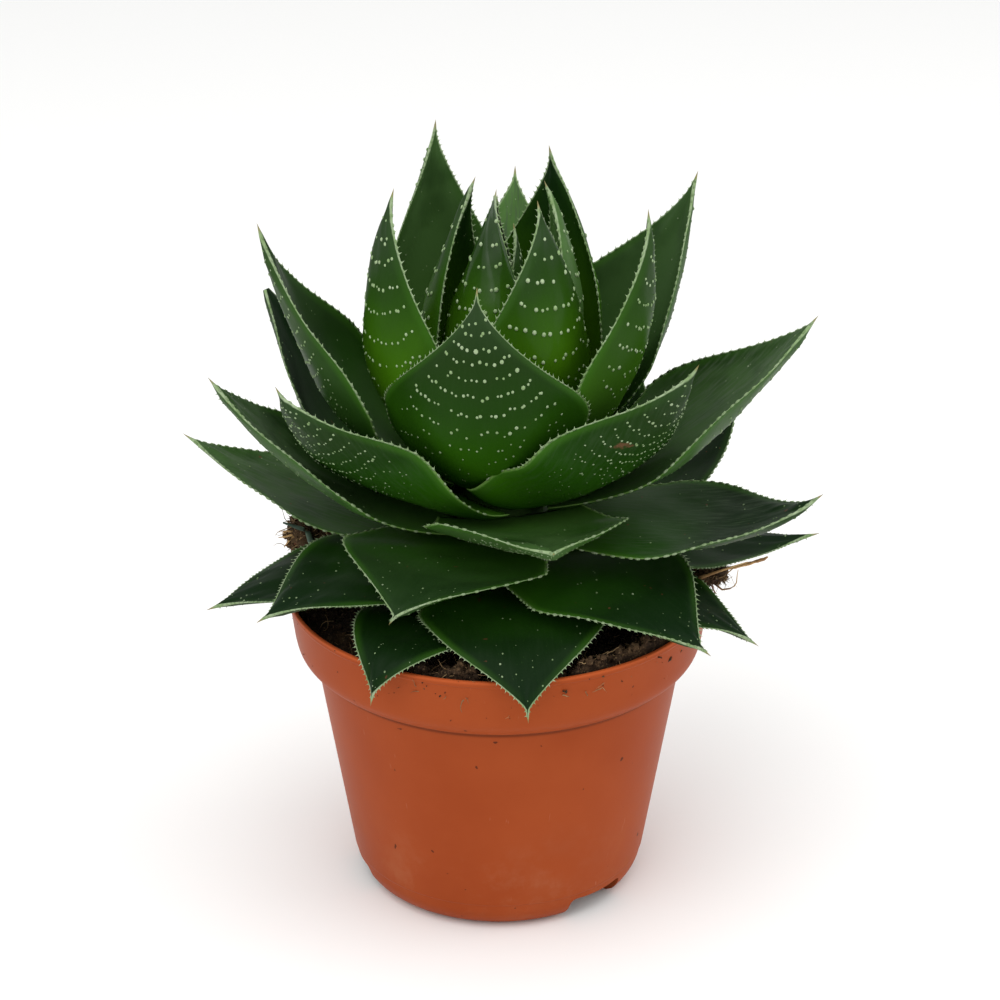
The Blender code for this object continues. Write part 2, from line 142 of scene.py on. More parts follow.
class Shade:
    """A node output of a material. Arithmetic on it adds Math nodes."""

    def __init__(self, tree, socket=None):
        self.tree = tree
        self.socket = socket

    def node(self, kind, settings=None, inputs=None, output=0):
        """Add a node of any kind, with its settings and its sockets' values or links."""
        new = self.tree.nodes.new("ShaderNode" + kind)
        for name, value in (settings or {}).items():
            if name == "stops":
                while len(new.color_ramp.elements) < len(value):
                    new.color_ramp.elements.new(1)
                for element, (place, colour) in zip(new.color_ramp.elements, value):
                    element.position = place
                    element.color = (*colour, 1)
            else:
                setattr(new, name, value)
        for name, value in (inputs or {}).items():
            if isinstance(value, Shade):
                self.tree.links.new(value.socket, new.inputs[name])
            elif isinstance(value, tuple) and len(new.inputs[name].default_value) == 4:
                new.inputs[name].default_value = (*value, 1)
            else:
                new.inputs[name].default_value = value
        return Shade(self.tree, new.outputs[output] if new.outputs else None)

    def maths(self, operation, *terms, kind="Math", output=0):
        return self.node(kind, {"operation": operation}, dict(enumerate(terms)), output)

    def __add__(self, other):
        return self.maths("ADD", self, other)

    def __sub__(self, other):
        return self.maths("SUBTRACT", self, other)

    def __rsub__(self, other):
        return self.maths("SUBTRACT", other, self)

    def __mul__(self, other):
        return self.maths("MULTIPLY", self, other)

    __radd__ = __add__
    __rmul__ = __mul__

    def larger(self, other):
        return self.maths("MAXIMUM", self, other)

    def rise(self, low, high, start=0, end=1):
        """0 below low, 1 above high, smooth between them."""
        return self.node("MapRange", {"interpolation_type": "SMOOTHSTEP"},
                         {"Value": self, "From Min": low, "From Max": high, "To Min": start, "To Max": end})

    def fall(self, low, high):
        """1 below low, 0 above high, smooth between them."""
        return self.rise(low, high, 1, 0)

    def blend(self, first, second):
        """Colour that goes from the first to the second as this value goes from 0 to 1."""
        return self.node("Mix", {"data_type": "RGBA"}, {0: self, 6: first, 7: second}, 2)

    def noise(self, scale, detail=3, roughness=0.55, stretch=(1, 1, 1), where=None):
        """Noise over a piece's own coordinates in metres, or over another vector."""
        place = where or self.node("TexCoord", output="Object")
        place = self.maths("MULTIPLY", place, stretch, kind="VectorMath")
        return self.node("TexNoise", None,
                         {"Vector": place, "Scale": scale, "Detail": detail, "Roughness": roughness}, "Fac")

    def height(self):
        """Height above the pot's foot."""
        return self.node("SeparateXYZ", None, {0: self.node("TexCoord", output="Object")}, 2) * (1 / MM)

    def attribute(self, name):
        return self.node("Attribute", {"attribute_name": name}, None, "Fac")


def new_material(name, **constants):
    """A material with a Principled shader, whose constants are set here, and its first Shade."""
    material = bpy.data.materials.new(name)
    material.use_nodes = True
    shader = material.node_tree.nodes["Principled BSDF"]
    for key, value in constants.items():
        shader.inputs[key.replace("_", " ")].default_value = value
    return material, shader, Shade(material.node_tree)


def feed(shader, **values):
    """Link values to sockets of a shader."""
    for key, value in values.items():
        value.tree.links.new(value.socket, shader.inputs[key.replace("_", " ")])


def bump(shade, height, distance, strength=1.0):
    """Normal of a surface whose relief in metres is height times distance."""
    return shade.node("Bump", None, {"Height": height, "Distance": distance, "Strength": strength}, "Normal")


def plastic_material():
    """Terracotta plastic: blotchy colour, pale dust low on the wall, fine scratches and dark nicks, with a
    painted shadow in the crease under the rim band and a painted highlight along the lip.
    """
    material, shader, shade = new_material("terracotta_plastic", Specular_IOR_Level=0.05)
    cloud = shade.noise(28, 4)
    clay = cloud.rise(0.3, 0.7).blend((0.295, 0.052, 0.012), (0.330, 0.063, 0.016))
    height = shade.height()
    dust = shade.noise(60, 6, 0.7).rise(0.5, 0.72) * height.fall(6, 34)
    smudge = shade.noise(17, 5, 0.65).rise(0.58, 0.72)
    clay = (dust * 0.30 + smudge * 0.10).blend(clay, (0.40, 0.17, 0.09))
    scratch = shade.noise(900, 2, 0.5, (1, 1, 0.06)).rise(0.69, 0.76) * shade.noise(45, 2).rise(0.5, 0.65)
    clay = (scratch * 0.35).blend(clay, (0.45, 0.20, 0.12))
    nick = shade.noise(420, 1).rise(0.765, 0.79)
    clay = (nick * 0.8).blend(clay, (0.05, 0.015, 0.008))
    # Painted shadow: a dark line in the crease under the rim band, where shade falls.
    painted_crease_shadow = height.rise(wall_top - 0.9, wall_top) * height.fall(wall_top + 0.5, wall_top + 1.6)
    clay = (painted_crease_shadow * 0.7).blend(clay, (0.09, 0.017, 0.005))
    # Painted highlight: a lighter orange line along the top of the lip, where the light catches it.
    lip = height.rise(pot_height - 0.9, pot_height - 0.3)
    clay = (lip * 0.5).blend(clay, (0.52, 0.105, 0.028))
    grain = shade.noise(2600, 2)
    feed(shader, Base_Color=clay, Roughness=cloud * 0.16 + dust * 0.25 + 0.34,
         Normal=bump(shade, grain * 0.6 + scratch, 0.00003))
    return material


outer_wall = [
    (1, 0, 0),
    (FOOT_RADIUS - 1, 0, 0.9),
    (FOOT_RADIUS + 1.6, 1.6, 1.5),
    (RING_RADIUS - 0.8, RING_HEIGHT - FOOT_CURVE, 2.5),
    (RING_RADIUS - RING_STEP, RING_HEIGHT - 0.25, 0.2),
    (RING_RADIUS + 0.05, RING_HEIGHT + 0.1, 0.2),
    (WALL_TOP_RADIUS, wall_top - 0.2, 0.5),
    (WALL_TOP_RADIUS + 0.4, wall_top + 0.5, 0.4),
    (rim_radius - 4.9, wall_top + 1.2, 0.7),
    (rim_radius - 2.6, band_low - 2.6, 2.2),
    (rim_radius - BAND_LEAN, band_low, 2.5),
    (rim_radius - LIP_BEAD - 0.12, pot_height - 1.7, 0.3),
    (rim_radius, pot_height - 1.35, 0.3),
    (rim_radius, pot_height, 0.45),
]
inner_wall = [
    (rim_radius - LIP_WALL, pot_height, 0.45),
    (rim_radius - LIP_WALL - 0.1, pot_height - 1.6, 0.5),
    (rim_radius - BAND_LEAN - POT_WALL, band_low + 0.5, 2),
    (rim_radius - 2.6 - POT_WALL, band_low - 1.8, 2),
    (WALL_TOP_RADIUS - POT_WALL, wall_top, 1),
    (RING_RADIUS - POT_WALL, RING_HEIGHT + 0.4, 1),
    (FOOT_RADIUS - POT_WALL, FLOOR_THICKNESS, 1),
    (1, FLOOR_THICKNESS, 0),
]
profile = rounded(outer_wall + inner_wall)
pot = turned_piece("plastic_pot", [(1, 0), *profile, (1, FLOOR_THICKNESS)], POT_SIDES)
cutters = []
for index in range(NOTCH_COUNT):
    turn = math.radians(NOTCH_FIRST - 90 + index * 360 / NOTCH_COUNT)
    bpy.ops.mesh.primitive_cube_add(size=1, rotation=(0, 0, turn), scale=[size * MM for size in NOTCH_SIZE],
                                    location=(math.cos(turn) * NOTCH_RADIUS * MM,
                                              math.sin(turn) * NOTCH_RADIUS * MM, 0))
    cutters.append(bpy.context.object)
select_only(*cutters)
bpy.ops.object.join()
bpy.ops.object.transform_apply()
notches = bpy.context.object
apply_modifier(notches, "BEVEL", width=NOTCH_CORNER * MM, segments=4)
apply_modifier(pot, "BOOLEAN", object=notches, operation="DIFFERENCE", solver="EXACT")
bpy.data.objects.remove(notches)
select_only(pot)
bpy.ops.object.shade_smooth_by_angle(angle=SMOOTH_ANGLE)
dress(pot, plastic_material(), "pot_plastic", "pot")


# Soil: dark brown peat that fills the pot to just under the rim, with lumps of roots and crumbs
# thrown up at both sides. Loose crumbs lie on it, and pale fibres stick out of it.
PEAT_GRAIN = 1.0
PEAT_BURIED = 66
COARSE_GRAIN = 4.0
FINE_GRAIN = 1.6
COARSE_RELIEF = 0.55
FINE_RELIEF = 0.6
WALL_RELIEF = 0.35
OPEN_RADIUS = 47
LUMP_FOOT = 79
HEAP_FOOT = 71.5
HEAP_START = 41
HEAP_SPREAD = 8
CRUMB_COUNT = 1900
TOP_SHARE = 0.55
PILE_COUNT = 1700
PILE_RADIUS = 51
PILE_SPREAD = 6
PILE_RISE = 1.6
SPECK_COUNT = 40
SPECK_DROP = 11
FIBRE_COUNT = 620
FIBRE_SIDES = 4
FIBRE_STEPS = 6
RIM_FIBRES = 110
LUMP_FIBRES = 620
ROOT_SIDES = 8

# Peat thrown up against the rim, as the azimuths that it lies between and its rise.
HEAPS = ((10, 92, 4.6), (-34, -2, 5.6))

# Where crumbs and fibres cover the lumps at the sides, as azimuth, radius, height and size.
CLUMPS = ((-108, 43, 81, 6), (-108, 51, 85, 5), (88, 47, 78, 4), (87, 53, 81.5, 3))

# Larger specks of peat that stick to the rim, as azimuth, height and size.
RIM_SPECKS = ((11, 77.9, 0.35), (12.5, 77.6, 0.3), (13, 77.2, 0.35), (24, 77, 0.25), (28, 76.8, 0.4),
              (-20, 76.7, 0.35), (17.7, 74.5, 0.5), (17, 74.8, 0.4), (47, 76.4, 0.35), (48, 75.9, 0.25),
              (62, 76.5, 0.35))


def peat_material():
    """Peat: nearly black to warm brown crumbs, fully rough."""
    material, shader, shade = new_material("peat", Specular_IOR_Level=0.2)
    grain = shade.noise(700, 5, 0.7)
    patch = shade.noise(140, 3)
    brown = grain.node("ValToRGB", {"stops": (
        (0.30, (0.012, 0.007, 0.004)),
        (0.52, (0.034, 0.019, 0.010)),
        (0.64, (0.095, 0.055, 0.027)),
        (0.76, (0.260, 0.170, 0.085)),
    )}, {"Fac": grain * 0.7 + patch * 0.3})
    speck = shade.noise(1700, 2).rise(0.60, 0.70)
    brown = (speck * 0.6).blend(brown, (0.24, 0.155, 0.080))
    dry = shade.height().rise(78, 81.5) * patch.rise(0.3, 0.55)
    brown = (dry * 0.3).blend(brown, (0.15, 0.090, 0.042))
    feed(shader, Base_Color=brown, Roughness=grain * 0.1 + 0.88, Normal=bump(shade, grain, 0.0006))
    return material


def fibre_material(name, dark, light):
    """Dry plant fibre that goes from one colour to another along its length."""
    material, shader, shade = new_material(name, Specular_IOR_Level=0.3)
    straw = shade.noise(160, 3).rise(0.35, 0.65).blend(dark, light)
    feed(shader, Base_Color=straw, Roughness=shade.noise(900, 2) * 0.2 + 0.7)
    return material


def linked_object(name, mesh):
    """A new object of the scene with this mesh."""
    item = bpy.data.objects.new(name, mesh)
    bpy.context.scene.collection.objects.link(item)
    return item


def merged_copy(name, node):
    """The solid of a node as a new object, its loose triangles joined at their corners."""
    item = linked_object(name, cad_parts[node].data.copy())
    select_only(item)
    bpy.ops.object.mode_set(mode="EDIT")
    bpy.ops.mesh.select_all(action="SELECT")
    bpy.ops.mesh.remove_doubles(threshold=0.00001)
    bpy.ops.object.mode_set(mode="OBJECT")
    return item


def mesh_object(name, corners, faces):
    """An object from corners in millimetres and lists of their numbers, shaded smooth."""
    mesh = bpy.data.meshes.new(name)
    mesh.from_pydata((np.asarray(corners) * MM).tolist(), [], faces)
    mesh.shade_smooth()
    return linked_object(name, mesh)


def rows_of(items, name, kind=float):
    """The three numbers that each part of a mesh has under one name, as an array of rows."""
    numbers = np.empty(len(items) * 3, dtype=kind)
    items.foreach_get(name, numbers)
    return numbers.reshape(-1, 3)


def model_arrays(model):
    """Corners and triangles of a small model, which is then removed."""
    model.data.calc_loop_triangles()
    arrays = rows_of(model.data.vertices, "co"), rows_of(model.data.loop_triangles, "vertices", int)
    bpy.data.objects.remove(model)
    return arrays


def stamp(name, model, axes, places):
    """One object with a copy of a model at each place. Axes holds three scaled axes per copy."""
    corners, triangles = model
    copies = np.einsum("nij,kj->nki", np.asarray(axes), corners) + np.asarray(places)[:, None, :]
    faces = triangles[None] + len(corners) * np.arange(len(copies))[:, None, None]
    return mesh_object(name, copies.reshape(-1, 3), faces.reshape(-1, 3).tolist())


def strands(name, paths, radii, sides):
    """One object with a closed tapering tube along each path of points."""
    corners, faces = [], []
    turns = [math.tau * side / sides for side in range(sides)]
    for path, radius in zip(paths, radii):
        start = len(corners)
        last = len(path) - 1
        for step, spot in enumerate(path):
            ahead = (path[min(step + 1, last)] - path[max(step - 1, 0)]).normalized()
            level = ahead.orthogonal().normalized()
            beside = ahead.cross(level)
            thick = radius * (1 - 0.75 * step / last)
            corners += [spot + (level * math.cos(turn) + beside * math.sin(turn)) * thick for turn in turns]
        for step in range(last):
            for side in range(sides):
                low = start + step * sides
                near, far = low + side, low + (side + 1) % sides
                faces.append((near, far, far + sides, near + sides))
        faces.append([start + side for side in reversed(range(sides))])
        faces.append([start + last * sides + side for side in range(sides)])
    return mesh_object(name, corners, faces)


def around(azimuth, radius, height):
    """Point at an azimuth in degrees about the pot's axis."""
    turn = math.radians(azimuth)
    return Vector((radius * math.sin(turn), -radius * math.cos(turn), height))


def scatter(spread):
    """A vector whose three parts are drawn about zero."""
    return Vector([draw.gauss(0, spread) for _ in range(3)])


def wander(start, heading, length, curl):
    """A path that sets out in a direction and bends at random."""
    path = [start]
    for _ in range(FIBRE_STEPS):
        heading = (heading + Vector([draw.uniform(-curl, curl) for _ in range(3)])).normalized()
        path.append(path[-1] + heading * length / FIBRE_STEPS)
    return path


def heap(place):
    """How much higher the loose peat lies against the inside of the rim."""
    azimuth = math.degrees(math.atan2(place.x, -place.y))
    share = min(max((place.xy.length - HEAP_START) / HEAP_SPREAD, 0), 1)
    return sum(rise * share * math.sin(math.pi * (azimuth - low) / (high - low)) ** 0.5
               for low, high, rise in HEAPS if low < azimuth < high)


peat = merged_copy("peat_fill", "soil")
apply_modifier(peat, "REMESH", mode="VOXEL", voxel_size=PEAT_GRAIN * MM)
corners, normals = rows_of(peat.data.vertices, "co"), rows_of(peat.data.vertex_normals, "vector")
for number in np.nonzero(corners[:, 2] > PEAT_BURIED * MM)[0]:
    place = Vector(corners[number]) / MM
    coarse = noise.noise(place / COARSE_GRAIN)
    fine = noise.noise(place / FINE_GRAIN + Vector((40, 0, 0)))
    share = 1 if place.z > LUMP_FOOT or place.xy.length < OPEN_RADIUS else WALL_RELIEF
    corners[number] += normals[number] * (coarse * COARSE_RELIEF + fine * FINE_RELIEF) * share * MM
    if place.z > HEAP_FOOT:
        corners[number][2] += heap(place) * (1 + coarse) * MM
peat.data.vertices.foreach_set("co", corners.ravel())
peat.data.update()
peat.data.shade_smooth()
dress(peat, peat_material(), "peat", "soil")

draw = random.Random(11)
surface = BVHTree.FromPolygons([vertex.co / MM for vertex in peat.data.vertices],
                               [face.vertices[:] for face in peat.data.polygons])
bpy.ops.mesh.primitive_ico_sphere_add(subdivisions=1, radius=1)
crumb_model = model_arrays(bpy.context.object)
axes, places, paths, radii = [], [], [], []


def lump_spot():
    """A place on one of the lumps at the sides, the skin's direction there and the way outwards."""
    azimuth, radius, height, size = draw.choice(CLUMPS)
    away = scatter(1).normalized()
    return *surface.find_nearest(around(azimuth, radius, height) + away * size)[:2], away


def peat_spot():
    """A place on the peat's skin, either anywhere on top or on one of the lumps at the sides."""
    if draw.random() < TOP_SHARE:
        top = around(draw.uniform(0, 360), 50 * math.sqrt(draw.uniform(0.07, 1)), 75)
        return surface.find_nearest(top)[:2]
    return lump_spot()[:2]


def pile_spot():
    """A place in the loose crumbs that lie against the inside of the rim."""
    low, high, _ = draw.choice(HEAPS)
    spot = around(draw.uniform(low, high), PILE_RADIUS - PILE_SPREAD * draw.random() ** 1.6, 0)
    top = surface.ray_cast(spot + Vector((0, 0, 100)), Vector((0, 0, -1)), 40)[0]
    return (top or spot + Vector((0, 0, 73))) + Vector((0, 0, PILE_RISE * draw.random() ** 2))


def tumbled(size, thinnest):
    """Three scaled axes of a crumb that is turned and thinned at random."""
    turn = Matrix.Rotation(draw.uniform(0, math.tau), 3, scatter(1))
    return turn @ Matrix.Diagonal([size * draw.uniform(thinnest, 1.1) for _ in range(3)])


spots = [peat_spot() for _ in range(CRUMB_COUNT)]
spots += [(pile_spot(), Vector((0, 0, 1))) for _ in range(PILE_COUNT)]
for spot, normal in spots:
    size = draw.uniform(0.25, 0.9) * draw.choice((1, 1, 1.5))
    axes.append(tumbled(size, 0.5))
    places.append(spot + normal * size * 0.4)
specks = [(draw.uniform(-90, 90), pot_height - SPECK_DROP * draw.random() ** 2, draw.uniform(0.08, 0.2))
          for _ in range(SPECK_COUNT)]
for azimuth, height, size in [*RIM_SPECKS, *specks]:
    lean = (pot_height - height) * BAND_LEAN / BAND_HEIGHT
    axes.append(tumbled(size, 0.6))
    places.append(around(azimuth, rim_radius - lean + 0.3 * size, height))
crumbs = stamp("peat_crumbs", crumb_model, axes, places)
crumbs.data.shade_flat()
dress(crumbs, peat.data.materials[0], "peat", "soil")

for _ in range(FIBRE_COUNT):
    spot, normal = peat_spot()
    lean = scatter(0.8)
    heading = (normal * draw.uniform(0.1, 0.8) + lean).normalized()
    paths.append(wander(spot - normal * 0.3, heading, draw.uniform(2.5, 7), 0.55))
    radii.append(draw.uniform(0.07, 0.2))
for _ in range(RIM_FIBRES):
    start = pile_spot()
    heading = Vector((draw.gauss(0, 1), draw.gauss(0, 0.6), draw.uniform(-0.1, 0.4))).normalized()
    paths.append(wander(start + Vector((0, 0, 0.4)), heading, draw.uniform(2, 6), 0.35))
    radii.append(draw.uniform(0.1, 0.2))
for _ in range(LUMP_FIBRES):
    start, _, away = lump_spot()
    heading = (away + scatter(0.7)).normalized()
    paths.append(wander(start - away * 0.8, heading, draw.uniform(1.5, 4), 0.35))
    radii.append(draw.uniform(0.12, 0.36))
# Fibres that would stand up in front of the leaf over the right lump are left out.
kept = [(path, radius) for path, radius in zip(paths, radii) if path[-1].x < 50 or path[-1].z < 86]
fibres = strands("peat_fibres", *zip(*kept), FIBRE_SIDES)
dress(fibres, fibre_material("root_fibre", (0.085, 0.045, 0.018), (0.38, 0.25, 0.12)), "peat", "soil")

# The thicker ends that stick out of the lumps at the sides, as thickness and points along them. The
# third is the dried leaf's pale edge on the right lump.
STRAW_ENDS = (
    (0.28, (53.5, -3, 80), (55.4, -4, 78.8), (57.3, -4, 79.1), (58.4, -4, 79.8), (58.9, -4, 80.8),
     (59, -4, 82.9), (59.2, -4, 84.3)),
    (0.2, (54.5, -4, 82.3), (56.5, -4, 83.3), (58, -4, 84.7), (59, -4, 85), (60.2, -4, 85.3)),
    (0.52, (49.4, -6, 82.9), (50.4, -6.3, 83.5), (52, -6.5, 84.2), (54, -6.3, 84.9),
     (56.2, -6, 85.5), (58.4, -5.5, 86.1), (61.4, -5.2, 87)),
    (0.45, (-50, 14, 85), (-52.2, 11, 86.7), (-53.5, 11, 86.3), (-55.4, 11, 86)),
    (0.45, (-50, 14, 85), (-51.7, 11, 86.2), (-52.8, 11, 85.1), (-54.1, 11, 83.3)),
    (0.35, (-50, 14, 87), (-52.4, 11, 87.7), (-53.4, 11, 87.9), (-54.5, 11, 87.2)),
)
RED_ENDS = (
    (0.35, (51.5, -2.5, 80), (53, -2.5, 79.1), (53.3, -2.5, 78.2), (53.7, -2.5, 77.4), (54.2, -2.5, 76.8)),
    (0.4, (-49.5, 13, 85), (-50.7, 11, 85.9), (-51, 11, 84.8), (-52.3, 11, 82.3)),
)
SCRAP_ENDS = ((0.95, (-46.8, 10, 84.5), (-47.2, 9, 86.3), (-47.8, 9, 88.2), (-49, 9, 89.3), (-50.8, 9, 89.9),
               (-52.5, 9, 90.6), (-54, 9, 91.1)),)
for name, ends, dark, light in (
    ("straw_roots", STRAW_ENDS, (0.26, 0.14, 0.055), (0.55, 0.35, 0.15)),
    ("red_roots", RED_ENDS, (0.10, 0.030, 0.015), (0.24, 0.085, 0.040)),
    ("leaf_scrap", SCRAP_ENDS, (0.05, 0.085, 0.06), (0.10, 0.15, 0.11)),
):
    roots = strands(name, [[Vector(point) for point in path] for _, *path in ends],
                    [thickness for thickness, *_ in ends], ROOT_SIDES)
    dress(roots, fibre_material(name, dark, light), "peat", "soil")


# Stem: the short thick stump that carries every leaf, dark green where it shows between them.
STEM_SIDES = 64
stem_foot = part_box("stem")[0][2] / MM
stem_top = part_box("stem")[1][2] / MM
stem_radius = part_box("stem")[1][0] / MM
stem_outline = [(1, stem_foot, 0), (stem_radius - 1.5, stem_foot, 1), (stem_radius, stem_foot + 5, 2),
                (stem_radius, stem_top - 13.5, 2), (2.2, stem_top - 1, 1), (0.5, stem_top, 0)]


def stem_material():
    """Dark green flesh, mottled in bands of a darker and a lighter green."""
    material, shader, shade = new_material("stem_flesh", Specular_IOR_Level=0.4)
    band = shade.noise(90, 3, 0.6, (1, 1, 3))
    green = band.rise(0.35, 0.7).blend((0.012, 0.045, 0.003), (0.030, 0.075, 0.008))
    feed(shader, Base_Color=green, Roughness=band * 0.2 + 0.4, Normal=bump(shade, band, 0.0004))
    return material


stem = turned_piece("stump", [(1, stem_foot), *rounded(stem_outline), (0.5, stem_top)], STEM_SIDES)
select_only(stem)
bpy.ops.object.shade_smooth_by_angle(angle=SMOOTH_ANGLE)
dress(stem, stem_material(), "stem", "stem")


# Leaves: thick, pointed and waxy, in one spiral on the stem. Each is channelled above and keeled
# below, with a pale horny margin of small white teeth, teeth on its keel near the tip, and rows of
# pale raised dots across its underside. The leaf grows as one piece with its teeth and dots.
GOLDEN_ANGLE = 137.5
FIRST_AZIMUTH = 145
SPIRAL_STEP = 1.36
SHOULDER_LEAF = 12
STEM_SHOULDER = 111.5
STEM_RADIUS = 11
STEM_TAPER = 0.72
ROOT_GAP = 0.5
ROOT_NARROWING = 0.33
INNER_NARROWING = 0.5
SWELL_END = 0.45
CUP_START = 0.05
CUP_RANGE = 0.3
CLASP_RISE = 0.16
CLASP_FALL = 0.3
LEAF_ROUND = 44
LEAF_RINGS = 64
LEAF_HANDLE = 0.42
LEAF_WIDEST = 0.42
MIDRIB_LENGTH = 1.08
INNER_TAPER = 1.3
OUTER_TAPER = 1.1
OUTER_LEAF = 17
LEAF_THICKNESS = 0.075
TIP_THINNING = 0.35
THIN_LEAF = 1.5
UPPER_SHARE = 0.35
TIP_SPINE = 3.0
RING_CROWDING = 1.15
EDGE_CROWDING = 0.65
CHANNEL = 28
CHANNEL_LOSS = 1.5
DEEPEST_LEAF = 15
FLATTEST_CHANNEL = 4
FULLEST_BEND = 1.15
EDGE_THICKNESS = 0.5
RIPPLE = 0.22
RIDGE = 0.10
RIDGE_PITCH = 3.2
KEEL_START = 0.66
KEEL_PITCH = 2.1
KEELED = (6, 11, 18, *range(20, 40))
DOT_FADE = 0.46
ROW_BOW = 0.24
BROKEN_TIPS = {20: 0.95}

# Margins, for the leaves before a number: pitch and height of the teeth, how far they lean to the
# tip, and half the length and half the height of the bead under each.
MARGIN_KINDS = (
    (11, 1.9, 0.85, 0.40, 0.60, 0.30),
    (13, 1.5, 0.75, 0.30, 0.42, 0.24),
    (18, 2.2, 0.80, 0.40, 0.65, 0.28),
    (28, 2.5, 0.80, 0.60, 0.80, 0.30),
    (29, 1.8, 0.95, 0.60, 0.60, 0.34),
    (39, 1.3, 0.75, 0.30, 0.35, 0.20),
)

# Dots of the underside, for the leaves before a number: radius, distance of the first row from the
# tip, first and widest gap between rows, step along a row, and how white they are.
DOT_KINDS = (
    (9, 0.50, 8.0, 4.0, 6.2, 1.9, 1.0),
    (11, 0.40, 6.8, 3.8, 6.4, 1.35, 0.95),
    (13, 0.40, 7.0, 2.5, 5.4, 1.45, 0.9),
    (20, 0.29, 6.0, 2.2, 4.2, 1.2, 0.8),
    (21, 0.21, 3.5, 1.5, 2.4, 1.0, 0.7),
    (39, 0.23, 6.0, 2.4, 4.6, 1.5, 0.6),
)

# One row a leaf, from the innermost to the outermost: how far it is turned from its place in the
# spiral (degrees), the reach and height of its tip and its width, its angle above the horizontal
# where it leaves the stem and at its tip, and its roll about its midrib (degrees).
LEAVES = (
    (0, 3, 156, 11, 80, 94, 0),
    (0, 4, 163, 14, 78, 96, 0),
    (0, 4, 174, 18, 74, 98, 0),
    (0, 1, 180, 22, 68, 102, 0),
    (-5, 1, 182, 32, 58, 106, 0),
    (-9, 11, 183, 34, 46, 108, 0),
    (-5, 6, 184, 36, 42, 108, 0),
    (9, 15, 183, 42, 43, 106, 0),
    (-20, 21, 187, 46, 38, 104, 0),
    (-6, 27, 186, 46, 28, 102, 0),
    (-5, 36, 180, 44, 32, 92, 0),
    (-9, 32, 190, 44, 29, 98, 0),
    (-3, 35, 170, 57, 29.8, 102, 0),
    (-10, 58, 176, 50, 39.6, 68, 0),
    (2, 57, 174, 50, 24.6, 72, 0),
    (2, 60, 153, 50, 17.3, 58, -9),
    (-9, 60, 168, 46, 22.6, 72, 0),
    (-20, 61, 145, 46, 19, 62, 15),
    (-8, 77, 149, 54, 14.3, 50, 0),
    (4, 68, 149, 41, 5, 64, 0),
    (-2, 57, 113, 50, 12.9, 21, -5),
    (0, 68, 140, 46, 14, 54, 0),
    (-12, 70, 138, 46, 10.8, 52, 0),
    (8, 80, 112, 47, 14, 40, 0),
    (0, 66, 125, 44, 11.7, 44, 0),
    (-7, 61, 95, 53, 12, -16, 0),
    (2, 76, 119, 38, 6, 56, 0),
    (2, 80, 113, 38, 12, 30, 0),
    (11, 69, 83, 48, 8, -20, 0),
    (0, 70, 100, 44, 11, 18, 0),
    (-6, 69, 87, 44, 11, -20, 0),
    (12, 82, 86, 37, 13, 8, 0),
    (2, 71, 95, 44, 11, 14, 0),
    (4, 61, 72, 46, 17.8, -53, 0),
    (8, 73, 85, 42, 13, 0, 0),
    (5, 73, 79, 40, 15, -20, 0),
    (13, 68, 74, 36, 16, -30, 0),
    (0, 68, 80, 38, 8, -10, 0),
    (0, 60, 72, 33, 13, -76, 0),
)

# Leaves whose root differs from the rule, by leaf number: how much narrower than the blade the
# root is, how much more it is cupped (radians), and how much thicker it is.
ROOTS = {14: (0.6, 0, 0), 15: (0.6, 0, 0), 16: (0, 0.04, 0.35), 18: (0.04, -0.25, 0.34),
         19: (0.5, 0, 0), 20: (0.55, 0, 0)}

# Left margins that clasp the leaf above them, by leaf number, as extra bend (radians).
CLASPS = {16: 0.33}

# How grey the streaks of a leaf's skin are, from waxy bloom and, on leaves 17, 19 and 28, from a
# painted sheen that stands in for the pale backdrop's reflection; how much lighter its green is, from
# fresher colour on young leaves and painted light on leaves 17, 21 and 28; and how glossy it is, by
# leaf number; and the brown scar on leaf 17, in metres.
BLOOM_AND_SHEEN = {16: 0.3, 17: 1.6, 18: 0.3, 19: 1.4, 23: 0.5, 24: 0.7, 28: 1.5}
FRESH_AND_LIT = {6: 0.9, 11: 0.15, 12: 0.5, 14: 0.35, 15: 0.2, 17: 1.3, 19: 0.45, 21: 0.4, 23: 0.4, 26: 0.12,
         28: 0.5}
GLOSS = {**dict.fromkeys(range(1, 10), 0.16), 5: 1.0}
LEAST_BLOOM = 0.05
SCAR_PLACE = (0.0289, -0.0352, 0.1312)
SCAR_SHAPE = (0.5, 0.5, 1.5)


def smooth(share):
    """Smooth step from 0 to 1."""
    share = np.clip(share, 0, 1)
    return share * share * (3 - 2 * share)


def unit(vectors):
    return vectors / np.linalg.norm(vectors, axis=-1, keepdims=True)


